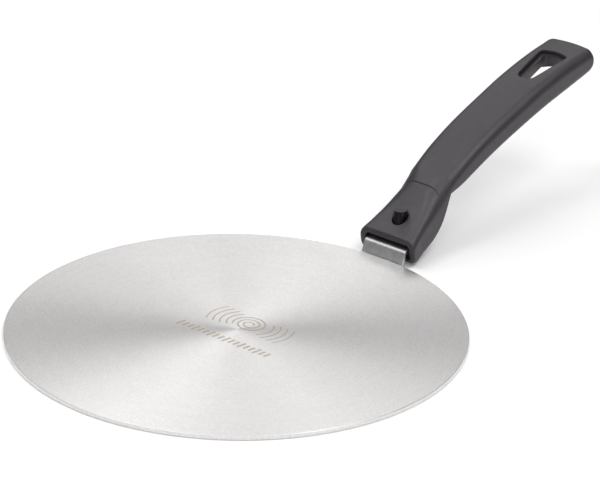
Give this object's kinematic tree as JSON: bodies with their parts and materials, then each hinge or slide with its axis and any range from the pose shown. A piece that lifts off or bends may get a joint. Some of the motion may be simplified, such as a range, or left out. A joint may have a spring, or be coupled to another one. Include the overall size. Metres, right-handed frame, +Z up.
{
  "type": "induction hob adapter disc",
  "caption": "Flat steel heat diffuser disc for an induction hob, with an arched plug-on handle, push-button latch and hang hole.",
  "frame": {"origin": "centre of the disc's underside, where it rests on the hob", "axes": "+Z up, +Y out along the handle, X across it; the plane X = 0 is the plane of symmetry"},
  "size_m": [0.22, 0.3756, 0.0727],
  "materials": {
    "disc_steel": "circular brushed, satin",
    "strip_steel": "brushed along its length",
    "weld_steel": "dull weld metal",
    "handle_black": "fine grained, matte",
    "cover_black": "fine grained, matte",
    "button_black": "smooth, semi-gloss",
    "spring_steel": "cold rolled",
    "screw_zinc": "zinc plated"
  },
  "bodies": {
    "adapter": {"disc": "disc_steel", "tang_strip": "strip_steel", "rim_weld_left": "weld_steel", "rim_weld_right": "weld_steel"},
    "handle": {"handle_body": "handle_black", "nose_cover": "cover_black", "cover_screw_left": "screw_zinc", "cover_screw_right": "screw_zinc", "latch_leaf": "spring_steel", "leaf_screw": "screw_zinc"},
    "button": {"lock_button": "button_black"}
  },
  "joints": [
    {"name": "handle_slide", "type": "slide", "parent": "adapter", "child": "handle", "axis": [0, 1, 0], "range_m": [0, 0.06], "deforming": ["latch_leaf"]},
    {"name": "button_press", "type": "slide", "parent": "handle", "child": "button", "axis": [0, 0, -1], "range_m": [0, 0.0021], "stiffness_N_per_m": 900, "springref_m": -0.002, "deforming": ["latch_leaf"]}
  ]
}
